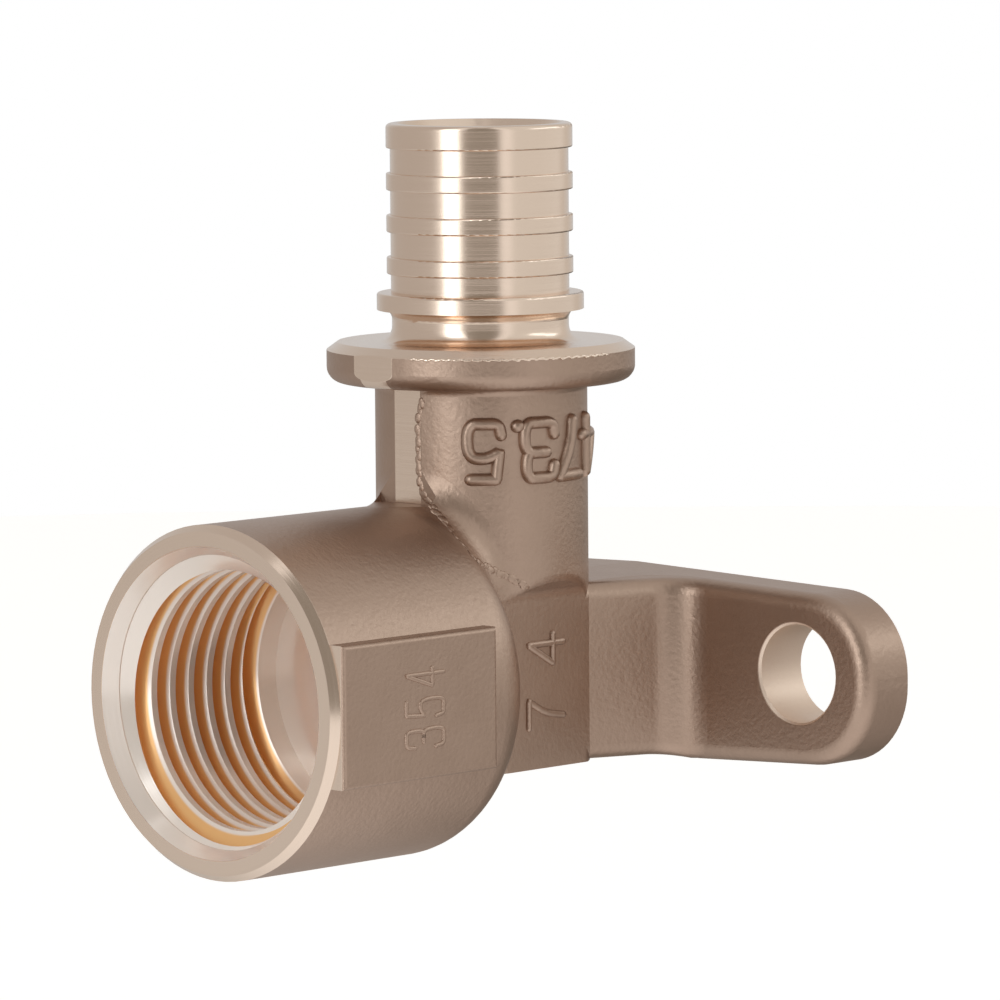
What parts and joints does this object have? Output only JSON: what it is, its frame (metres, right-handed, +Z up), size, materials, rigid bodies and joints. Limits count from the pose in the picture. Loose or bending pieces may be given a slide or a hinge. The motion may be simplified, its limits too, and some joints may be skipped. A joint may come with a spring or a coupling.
{
  "type": "wall plate compression elbow",
  "caption": "Cast elbow fixed to a wall: threaded socket facing forwards, ribbed pipe tail turned up at a right angle, round flange on its neck, and a drilled ear on each side.",
  "frame": {"origin": "on the wall face, midway between the two screw holes and in line with the threaded socket", "axes": "+Y into the wall, -Y out of the socket's mouth, +Z up the pipe tail, +X to the side with the marking pad"},
  "size_m": [0.0536, 0.0442, 0.0525],
  "materials": {
    "cast_metal": "satin as cast, with turned ends"
  },
  "bodies": {
    "root": {"elbow_body": "cast_metal"}
  },
  "joints": []
}
